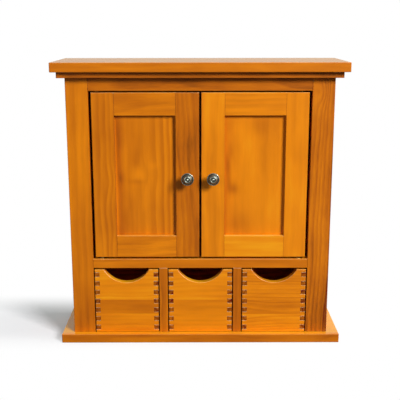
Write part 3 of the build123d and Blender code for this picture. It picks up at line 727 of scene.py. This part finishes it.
def worn_metal(name, colours, roughness, cloud, height):
    """A metal that has clouded in patches of a size. Its colours are of its hollows, clouds and polish."""
    material, tree = new_material(name)
    source = add_node(tree, "TexCoord").outputs["Object"]
    place = add_node(tree, "VectorMath", {0: source, "Scale": 1 / cloud}, operation="SCALE")
    clouds = add_node(tree, "TexNoise", {"Vector": place, "Scale": 1.0, "Detail": 3.0})
    room = add_node(tree, "AmbientOcclusion", {"Distance": cloud}, samples=8, only_local=True)
    rubbed = add_node(
        tree,
        "MapRange",
        {"Value": room.outputs["AO"], "From Min": RUBBED_ROOM[0], "From Max": RUBBED_ROOM[1]},
    )
    polish = add_node(tree, "Math", {0: clouds, 1: rubbed}, operation="MULTIPLY")
    tint = add_node(tree, "ValToRGB", {"Fac": polish}, tuple(zip(METAL_STOPS, colours)))
    shine = add_node(
        tree,
        "MapRange",
        {
            "Value": polish,
            "From Min": POLISH_RANGE[0],
            "From Max": POLISH_RANGE[1],
            "To Min": roughness + CLOUDED,
            "To Max": roughness + BRIGHT,
        },
    )
    relief = add_node(tree, "Bump", {"Height": clouds, "Strength": 0.4, "Distance": height})
    metal = add_node(
        tree,
        "BsdfPrincipled",
        {"Base Color": tint, "Metallic": 1.0, "Roughness": shine, "Normal": relief},
    )
    add_node(tree, "OutputMaterial", {"Surface": metal})
    return material


def moulded_plastic(hardware):
    """Brown polystyrene, moulded with a spark-eroded grain: a dull, finely pebbled surface."""
    material, tree = new_material("moulded_polystyrene")
    source = add_node(tree, "TexCoord").outputs["Object"]
    # The real grain is about 0.1 mm, too fine to show, so it is drawn coarser.
    grain_size = hardware.plastic_grain
    place = add_node(tree, "VectorMath", {0: source, "Scale": 1 / grain_size}, operation="SCALE")
    grain = add_node(tree, "TexNoise", {"Vector": place, "Scale": 1.0, "Detail": 1.0})
    stops = ((0.0, hardware.plastic_dark), (1.0, hardware.plastic))
    colours = add_node(tree, "ValToRGB", {"Fac": grain}, stops)
    relief = add_node(tree, "Bump", {"Height": grain, "Strength": 0.5, "Distance": 0.05 * MM})
    plastic = add_node(
        tree, "BsdfPrincipled", {"Base Color": colours, "Roughness": 0.5, "IOR": 1.59, "Normal": relief}
    )
    add_node(tree, "OutputMaterial", {"Surface": plastic})
    return material


# Settings that the sidebar shows


def colour_setting(name, code, description):
    """A colour that the sidebar shows, from its sRGB hex value."""
    return bpy.props.FloatVectorProperty(
        name=name,
        description=description,
        subtype="COLOR",
        size=4,
        min=0.0,
        max=1.0,
        default=linear_colour(code),
    )


def length_setting(name, millimetres, description):
    """A length that the sidebar shows, from its value in millimetres."""
    return bpy.props.FloatProperty(
        name=name, description=description, unit="LENGTH", min=0.0, default=millimetres * MM, precision=5
    )


def share_setting(name, share, description):
    """A share from 0 to 1 that the sidebar shows."""
    return bpy.props.FloatProperty(name=name, description=description, min=0.0, max=1.0, default=share)


def angle_setting(name, degrees, description):
    """An angle that the sidebar shows, from its value in degrees."""
    return bpy.props.FloatProperty(
        name=name, description=description, subtype="ANGLE", default=math.radians(degrees)
    )


def power_setting(name, watts, description):
    """The power of a lamp that the sidebar shows."""
    return bpy.props.FloatProperty(name=name, description=description, unit="POWER", min=0.0, default=watts)


def level_setting(name, level, description):
    """A level of light that the sidebar shows, where 1 is white."""
    return bpy.props.FloatProperty(name=name, description=description, min=0.0, default=level)


def direction_setting(name, direction, description):
    """A direction that the sidebar shows."""
    return bpy.props.FloatVectorProperty(
        name=name, description=description, subtype="XYZ", default=direction
    )


def pair_setting(name, pair, description):
    """Two lengths that the sidebar shows, from their values in millimetres."""
    return bpy.props.FloatVectorProperty(
        name=name,
        description=description,
        unit="LENGTH",
        size=2,
        default=[length * MM for length in pair],
    )


class CABINET_PG_stain(bpy.types.PropertyGroup):
    """Colours of the stain and sizes of the grain."""

    # The pale colour of the painted highlight on eased edges that look up.
    bare: colour_setting("Bare", "F4D4A0", "Pine where the stain is worn off")
    pale: colour_setting("Pale", "FAAC14", "Early wood that took the least stain")
    honey: colour_setting("Honey", "EB8802", "Light boards")
    gold: colour_setting("Gold", "D47500", "Most boards")
    amber: colour_setting("Amber", "BA6000", "Late wood and dark boards")
    brown: colour_setting("Brown", "8E4800", "End grain")
    # Also the colour of the painted shade in the gaps, where the stain is deepest.
    umber: colour_setting("Umber", "701000", "Stain that pooled in the gaps")
    wander_length: length_setting("Wander length", 110, "How long the grain's waves are along the board")
    wander_width: length_setting("Wander width", 45, "How wide the grain's waves are across the board")
    fibre_length: length_setting("Fibre length", 16, "Length of a bundle of fibres")
    fibre_width: length_setting("Fibre width", 1.5, "Width of a bundle of fibres, as fine as can show")
    streak_length: length_setting("Streak length", 160, "Length of the streaks along the grain")
    streak_width: length_setting("Streak width", 7, "Width of the streaks along the grain")
    patch_length: length_setting("Patch length", 75, "Length of the patches of deeper stain")
    patch_width: length_setting("Patch width", 32, "Width of the patches of deeper stain")
    end_grain_depth: share_setting("End grain depth", 0.36, "How much deeper end grain takes the stain")
    brush_width: length_setting("Brush marks", 7, "Width of the waves that the brush left in the lacquer")
    lacquer_roughness: share_setting("Lacquer roughness", 0.25, "Satin lacquer, where 0 is full gloss")
    arris: length_setting("Arris", 1.2, "Radius to which the edges of the boards are eased")
    # The next three paint light and shade on eased edges: a highlight (thinner stain, pale colour) where
    # they look up, shade (deeper stain) on the others.
    arris_painted_highlight: share_setting("Rubbed arris", 0.5, "How much less stain shows on edges that look up")
    arris_pale_highlight: share_setting("Worn arris", 0.9, "How far edges that look up are worn to bare wood")
    arris_painted_shade: share_setting("Soaked arris", 0.25, "How much more stain shows on the other edges")
    # Painted light: faces that look up take less stain.
    painted_top_light: share_setting("Faded", 0.3, "How much less stain shows on the faces that look up")
    # Painted shade: the stain is deepened in corners and gaps.
    corner_shade_reach: length_setting("Corner reach", 6, "How far from a corner the stain pooled")
    corner_shade_depth: share_setting("Corner depth", 0.8, "How much more stain shows in the corners")


class CABINET_PG_fittings(bpy.types.PropertyGroup):
    """Colours of the knobs, metalwork and other woods."""

    pewter: colour_setting("Pewter", "BEC4B6", "Knobs where they are rubbed bright")
    pewter_dark: colour_setting("Dark pewter", "8C9288", "Knobs where they have clouded")
    pewter_hollow: colour_setting("Pewter hollows", "3A3E38", "Hollows of the knobs, where patina stays")
    steel: colour_setting("Zinc", "C2C5C6", "Bright zinc plating on steel")
    steel_dark: colour_setting("Dull zinc", "94989A", "Clouded zinc plating")
    pin_steel: colour_setting("Oiled steel", "5E5E5C", "Pivot pins of the doors")
    pin_steel_dark: colour_setting("Dark oiled steel", "3C3C3A", "Clouds on the pivot pins")
    brass: colour_setting("Brass", "D9B566", "Turned brass")
    brass_dark: colour_setting("Dull brass", "A98842", "Tarnished brass")
    plastic: colour_setting("Brown plastic", "5E3C22", "Catch housing")
    plastic_dark: colour_setting("Dark brown plastic", "482C18", "Hollows in the catch's grain")
    birch: colour_setting("Birch", "E4BC88", "Light veneer of the plywood")
    birch_dark: colour_setting("Dark birch", "B98A58", "Dark figure and middle layer of the plywood")
    beech: colour_setting("Beech", "D6AE80", "Dowels")
    beech_dark: colour_setting("Dark beech", "A97C4E", "Flecks in the dowels")
    ply_figure_width: length_setting("Plywood figure", 18, "Width of the broad figure of rotary-cut veneer")
    beech_fleck: length_setting("Beech fleck", 1.5, "Size of the flecks in the dowels")
    plastic_grain: length_setting("Plastic grain", 0.5, "Size of the pebbles in the catch's grain")


class CABINET_PG_studio(bpy.types.PropertyGroup):
    """Floor, lamps and camera."""

    camera_height: length_setting("Camera height", 489, "Height of the lens above the floor")
    camera_distance: length_setting("Camera distance", 1121.5, "From the lens to the front of the doors")
    camera_offset: length_setting("Camera offset", 2.4, "How far the lens stands to the left of the middle")
    camera_pitch: angle_setting("Camera pitch", 13.17, "How far the camera looks down")
    camera_turn: angle_setting("Camera turn", 0.102, "How far the camera looks right")
    camera_roll: angle_setting("Camera roll", 0.055, "How far the camera leans left")
    lens: bpy.props.FloatProperty(
        name="Focal length",
        description="Of the lens, on a 36 mm wide picture, in millimetres",
        default=68.72,
        min=1.0,
    )
    key_direction: direction_setting("Key direction", (0.78, -1.0, 0.73), "To the main lamp")
    key_distance: length_setting("Key distance", 4500, "From the cabinet's middle to the main lamp")
    key_size: length_setting("Key size", 1400, "Width of the main lamp's soft box")
    key_power: power_setting("Key power", 238.0, "Of the main lamp")
    side_direction: direction_setting("Side direction", (1.0, 0.0, 0.5), "To the lamp at the right side")
    side_distance: length_setting("Side distance", 3000, "From the cabinet's middle to the side lamp")
    side_size: length_setting("Side size", 1100, "Width of the side lamp's soft box")
    side_power: power_setting("Side power", 27.0, "Of the side lamp")
    fill_direction: direction_setting("Fill direction", (-0.8, -1.0, 0.3), "To the weak lamp at the left")
    fill_distance: length_setting("Fill distance", 3000, "From the cabinet's middle to the weak lamp")
    fill_size: length_setting("Fill size", 900, "Width of the weak lamp's soft box")
    fill_power: power_setting("Fill power", 12.0, "Of the weak lamp")
    back_direction: direction_setting("Back direction", (-1.0, 0.25, 0.3), "To the lamp left and behind")
    back_distance: length_setting("Back distance", 3000, "From the cabinet's middle to the lamp behind")
    back_size: length_setting("Back size", 1100, "Width of the soft box behind")
    back_power: power_setting("Back power", 7.0, "Of the lamp behind")
    room_colour: colour_setting("Room colour", "E6F6F2", "Of the light from the room")
    room_light: level_setting("Room light", 0.045, "Level of the light from the dim room in front")
    wall_light: level_setting("Wall light", 0.78, "Level of the light from the white wall behind")
    ceiling_light: level_setting("Ceiling light", 0.2, "Level of the light from the ceiling")
    floor_size: length_setting("Floor size", 2200, "Width of the white floor")
    floor_colour: colour_setting("Floor", "545452", "The floor as it lights the cabinet")
    seen_floor: colour_setting("Seen floor", "EFEDF0", "The floor as the camera sees it, before its lift")
    floor_lift: level_setting("Floor lift", 0.11, "What the camera sees added to the lit floor")
    floor_fibre: length_setting("Floor fibre", 3, "Size of the paper's fibres, as fine as can show")
    sweep_centre: pair_setting("Sweep centre", (-120, 25), "Middle of the floor that isn't swept up")
    side_sweep: pair_setting("Side sweep", (150, 420), "Where the floor starts to turn white, and is")
    back_sweep: pair_setting("Back sweep", (30, 130), "The same, forwards and backwards")


# Operators


def stain_boards(boards, stain):
    """Stains and lacquers each board of a dictionary of cuts."""
    for node_name, cut in boards.items():
        finish(node_name, stained_pine(node_name, cut, stain))


class CABINET_OT_stain_recipe(bpy.types.Operator):
    """Prepare the grain and stain that all the pine boards share"""

    bl_idname = "cabinet.stain_recipe"
    bl_label = "Mix the stain"

    def execute(self, context):
        wander_group(context.scene.cabinet_stain)
        swirl_group()
        strips_group()
        pine_group(context.scene.cabinet_stain)
        return {"FINISHED"}


class CABINET_OT_top(bpy.types.Operator):
    """Finish the top board and the cornice under it"""

    bl_idname = "cabinet.top"
    bl_label = "Top and cornice"

    def execute(self, context):
        stain_boards(TOP_BOARDS, context.scene.cabinet_stain)
        return {"FINISHED"}


class CABINET_OT_case(bpy.types.Operator):
    """Finish the base, the sides, the shelves and the drawer dividers"""

    bl_idname = "cabinet.case"
    bl_label = "Case boards"

    def execute(self, context):
        stain_boards(CASE_BOARDS, context.scene.cabinet_stain)
        return {"FINISHED"}


class CABINET_OT_face_frame(bpy.types.Operator):
    """Finish the stiles and rails of the face frame"""

    bl_idname = "cabinet.face_frame"
    bl_label = "Face frame"

    def execute(self, context):
        stain_boards(FACE_FRAME, context.scene.cabinet_stain)
        return {"FINISHED"}


class CABINET_OT_doors(bpy.types.Operator):
    """Finish the stiles, rails and panels of both doors"""

    bl_idname = "cabinet.doors"
    bl_label = "Doors"

    def execute(self, context):
        stain_boards(DOOR_BOARDS, context.scene.cabinet_stain)
        return {"FINISHED"}


class CABINET_OT_drawers(bpy.types.Operator):
    """Finish the fronts, sides, backs and bottoms of the drawers"""

    bl_idname = "cabinet.drawers"
    bl_label = "Drawers"

    def execute(self, context):
        for drawer in DRAWERS:
            boards = {
                f"{drawer}_drawer_front": DRAWER_FRONTS[drawer],
                f"{drawer}_drawer_left_side": DRAWER_SIDE,
                f"{drawer}_drawer_right_side": DRAWER_SIDE,
                f"{drawer}_drawer_back": DRAWER_BACK,
            }
            stain_boards(boards, context.scene.cabinet_stain)
            bottom = f"{drawer}_drawer_bottom"
            finish(bottom, birch_plywood(bottom, context.scene.cabinet_fittings))
        return {"FINISHED"}


class CABINET_OT_back(bpy.types.Operator):
    """Finish the plywood back"""

    bl_idname = "cabinet.back"
    bl_label = "Back panel"

    def execute(self, context):
        finish("back_panel", birch_plywood("back_panel", context.scene.cabinet_fittings))
        return {"FINISHED"}


class CABINET_OT_knobs(bpy.types.Operator):
    """Finish the cast knobs"""

    bl_idname = "cabinet.knobs"
    bl_label = "Knobs"

    def execute(self, context):
        fittings = context.scene.cabinet_fittings
        # Cast zinc with an antique pewter finish: grey-green and softly polished, with clouded hollows.
        pewter = worn_metal(
            "antique_pewter",
            (fittings.pewter_hollow, fittings.pewter_dark, fittings.pewter),
            roughness=0.42,
            cloud=3 * MM,
            height=0.03 * MM,
        )
        for side in SIDES:
            finish(f"{side}_door_knob", pewter)
        return {"FINISHED"}


class CABINET_OT_fittings(bpy.types.Operator):
    """Finish the hinges, screws, nails, pins, dowels and catch"""

    bl_idname = "cabinet.fittings"
    bl_label = "Fittings"

    def execute(self, context):
        fittings = context.scene.cabinet_fittings
        # Steel with bright zinc plating: cool grey, smooth, with faint clouds.
        zinc = worn_metal(
            "zinc_plated_steel",
            (fittings.steel_dark, fittings.steel_dark, fittings.steel),
            roughness=0.32,
            cloud=2 * MM,
            height=0.02 * MM,
        )
        # Free-cutting brass, turned and left bare: yellow, slightly tarnished.
        brass = worn_metal(
            "turned_brass",
            (fittings.brass_dark, fittings.brass_dark, fittings.brass),
            roughness=0.28,
            cloud=2 * MM,
            height=0.02 * MM,
        )
        # Oiled mild steel: dark grey, smooth, a dull shine.
        oiled = worn_metal(
            "oiled_steel",
            (fittings.pin_steel_dark, fittings.pin_steel_dark, fittings.pin_steel),
            roughness=0.4,
            cloud=2 * MM,
            height=0.02 * MM,
        )
        for node_name in ("base_screws", "back_nails", "catch_screws", "catch_magnets", "shelf_pins"):
            finish(node_name, zinc)
        for side in SIDES:
            finish(f"{side}_door_strike_plate", zinc)
            finish(f"{side}_door_screws", zinc)
            finish(f"{side}_door_pivot_pins", oiled)
        finish("hinge_bushes", brass)
        finish("catch_body", moulded_plastic(fittings))
        finish("dowels", bare_beech(fittings))
        return {"FINISHED"}


def add_lamp(name, studio):
    """A square soft box that shines on the cabinet's middle, as its settings say."""
    data = bpy.data.lights.new(f"{name}_soft_box", "AREA")
    data.size = getattr(studio, f"{name}_size")
    data.energy = getattr(studio, f"{name}_power")
    lamp = bpy.data.objects.new(f"{name}_soft_box", data)
    bpy.context.scene.collection.objects.link(lamp)
    middle = (cad_box[0] + cad_box[1]) / 2
    towards = Vector(getattr(studio, f"{name}_direction")).normalized()
    lamp.location = middle + towards * getattr(studio, f"{name}_distance")
    lamp.rotation_euler = towards.to_track_quat("Z", "Y").to_euler()


def white_floor(studio):
    """Matt white paper: flat and pale. The camera sees it lifted to white, with the cabinet's shadow."""
    material, tree = new_material("white_paper")
    source = add_node(tree, "TexCoord").outputs["Object"]
    place = add_node(tree, "VectorMath", {0: source, "Scale": 1 / studio.floor_fibre}, operation="SCALE")
    fibres = add_node(tree, "TexNoise", {"Vector": place, "Scale": 1.0})
    relief = add_node(tree, "Bump", {"Height": fibres, "Strength": 0.05, "Distance": 0.1 * MM})
    # It throws little light back at the cabinet, as a floor in a dim room does.
    paper = add_node(tree, "BsdfDiffuse", {"Color": studio.floor_colour, "Normal": relief})
    seen_paper = add_node(tree, "BsdfDiffuse", {"Color": studio.seen_floor, "Normal": relief})
    white = linear_colour("FFFFFF")
    lift = add_node(tree, "Emission", {"Color": white, "Strength": studio.floor_lift})
    lifted = add_node(tree, "AddShader", {0: seen_paper, 1: lift})

    # The sheet sweeps up into the white backdrop close round the cabinet.
    offset = add_node(tree, "VectorMath", {0: source, 1: (*studio.sweep_centre, 0.0)}, operation="SUBTRACT")
    far = add_node(tree, "VectorMath", {0: offset}, operation="ABSOLUTE")
    apart = add_node(tree, "SeparateXYZ", {0: far})
    aside, behind = (
        add_node(
            tree,
            "MapRange",
            {"Value": apart.outputs[axis], "From Min": start, "From Max": end},
            interpolation_type="SMOOTHSTEP",
        )
        for axis, (start, end) in (("X", studio.side_sweep), ("Y", studio.back_sweep))
    )
    swept = add_node(tree, "Math", {0: aside, 1: behind}, operation="MAXIMUM")
    backdrop = add_node(tree, "Emission", {"Color": white, "Strength": 1.0})
    sweep = add_node(tree, "MixShader", {0: swept, 1: lifted, 2: backdrop})

    # The camera and glass see all of that, and gloss sees it behind the cabinet. In front the room is dim.
    ray = add_node(tree, "LightPath").outputs
    distance = add_node(tree, "SeparateXYZ", {0: source}).outputs["Y"]
    at_back = add_node(tree, "Math", {0: distance, 1: 0.0}, operation="GREATER_THAN")
    glossy = add_node(tree, "Math", {0: ray["Is Glossy Ray"], 1: at_back}, operation="MULTIPLY")
    clear = add_node(
        tree, "Math", {0: ray["Is Camera Ray"], 1: ray["Is Transmission Ray"]}, operation="MAXIMUM"
    )
    pale = add_node(tree, "Math", {0: clear, 1: glossy}, operation="MAXIMUM")
    seen = add_node(tree, "MixShader", {0: pale, 1: paper, 2: sweep})
    add_node(tree, "OutputMaterial", {"Surface": seen})
    return material


class CABINET_OT_studio(bpy.types.Operator):
    """Set up the floor, the lamps, the room light and the camera"""

    bl_idname = "cabinet.studio"
    bl_label = "Studio"

    def execute(self, context):
        scene = context.scene
        self.add_floor(scene, scene.cabinet_studio)
        for name in LAMPS:
            add_lamp(name, scene.cabinet_studio)
        self.light_room(scene, scene.cabinet_studio)
        self.add_camera(scene, scene.cabinet_studio)
        scene.view_settings.view_transform = "Standard"
        return {"FINISHED"}

    def add_floor(self, scene, studio):
        """Lays a sheet of paper under the cabinet."""
        half = studio.floor_size / 2
        mesh = bpy.data.meshes.new("floor")
        corners = [(-half, -half, 0.0), (half, -half, 0.0), (half, half, 0.0), (-half, half, 0.0)]
        mesh.from_pydata(corners, [], [(0, 1, 2, 3)])
        mesh.materials.append(white_floor(studio))
        floor = bpy.data.objects.new("floor", mesh)
        scene.collection.objects.link(floor)

    def light_room(self, scene, studio):
        """Lights the cabinet from a pale wall behind, a ceiling and a dim room. The camera sees white."""
        world = bpy.data.worlds.new("studio_room")
        world.use_nodes = True
        tree = world.node_tree
        tree.nodes.clear()
        scene.world = world
        source = add_node(tree, "TexCoord").outputs["Generated"]
        direction = add_node(tree, "SeparateXYZ", {0: source})
        level, overhead = (
            add_node(
                tree,
                "MapRange",
                {
                    "Value": direction.outputs[axis],
                    "From Min": start,
                    "From Max": end,
                    "To Min": least,
                    "To Max": most,
                },
                interpolation_type="SMOOTHSTEP",
            )
            for axis, (start, end), least, most in (
                ("Y", WALL_EDGE, studio.room_light, studio.wall_light),
                ("Z", CEILING_EDGE, 0.0, studio.ceiling_light),
            )
        )
        lit = add_node(tree, "Math", {0: level, 1: overhead}, operation="MAXIMUM")
        room = add_node(tree, "Background", {"Color": studio.room_colour, "Strength": lit})
        white = add_node(tree, "Background", {"Color": linear_colour("FFFFFF"), "Strength": 1.0})
        ray = add_node(tree, "LightPath").outputs
        through = add_node(tree, "MixShader", {0: ray["Is Transmission Ray"], 1: room, 2: white})
        seen = add_node(tree, "MixShader", {0: ray["Is Camera Ray"], 1: through, 2: white})
        add_node(tree, "OutputWorld", {"Surface": seen})

    def add_camera(self, scene, studio):
        """Stands the camera in front, a little above the cabinet, and looks down at its middle."""
        data = bpy.data.cameras.new("camera")
        data.lens = studio.lens
        data.sensor_width = FILM_WIDTH
        camera = bpy.data.objects.new("camera", data)
        scene.collection.objects.link(camera)
        door_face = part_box("left_frame_stile")[0].y
        place = Vector((-studio.camera_offset, door_face - studio.camera_distance, studio.camera_height))
        turn = Matrix.Rotation(-studio.camera_turn, 4, "Z")
        tilt = Matrix.Rotation(math.pi / 2 - studio.camera_pitch, 4, "X")
        roll = Matrix.Rotation(-studio.camera_roll, 4, "Z")
        camera.matrix_world = Matrix.Translation(place) @ turn @ tilt @ roll
        scene.camera = camera


class CABINET_PT_sidebar(bpy.types.Panel):
    """The cabinet's settings and steps"""

    bl_idname = "CABINET_PT_sidebar"
    bl_label = "Pine desktop cabinet"
    bl_space_type = "VIEW_3D"
    bl_region_type = "UI"
    bl_category = "Cabinet"

    def draw(self, context):
        for step in STEPS:
            self.layout.operator(step.bl_idname)
        for name in SETTINGS:
            box = self.layout.box()
            group = getattr(context.scene, name)
            for field in group.__annotations__:
                box.prop(group, field)


STEPS = (
    CABINET_OT_stain_recipe,
    CABINET_OT_top,
    CABINET_OT_case,
    CABINET_OT_face_frame,
    CABINET_OT_doors,
    CABINET_OT_drawers,
    CABINET_OT_back,
    CABINET_OT_knobs,
    CABINET_OT_fittings,
    CABINET_OT_studio,
)
SETTINGS = {
    "cabinet_stain": CABINET_PG_stain,
    "cabinet_fittings": CABINET_PG_fittings,
    "cabinet_studio": CABINET_PG_studio,
}


def register():
    """Adds the settings, the steps and the sidebar panel to Blender."""
    for name, group in SETTINGS.items():
        bpy.utils.register_class(group)
        setattr(bpy.types.Scene, name, bpy.props.PointerProperty(type=group))
    for step in STEPS:
        bpy.utils.register_class(step)
    bpy.utils.register_class(CABINET_PT_sidebar)


def unregister():
    """Takes the panel, the steps and the settings out of Blender again."""
    bpy.utils.unregister_class(CABINET_PT_sidebar)
    for step in reversed(STEPS):
        bpy.utils.unregister_class(step)
    for name, group in SETTINGS.items():
        delattr(bpy.types.Scene, name)
        bpy.utils.unregister_class(group)


def main():
    """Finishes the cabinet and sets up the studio."""
    register()
    bpy.ops.cabinet.stain_recipe()
    bpy.ops.cabinet.top()
    bpy.ops.cabinet.case()
    bpy.ops.cabinet.face_frame()
    bpy.ops.cabinet.doors()
    bpy.ops.cabinet.drawers()
    bpy.ops.cabinet.back()
    bpy.ops.cabinet.knobs()
    bpy.ops.cabinet.fittings()
    bpy.ops.cabinet.studio()


if __name__ == "__main__":
    main()
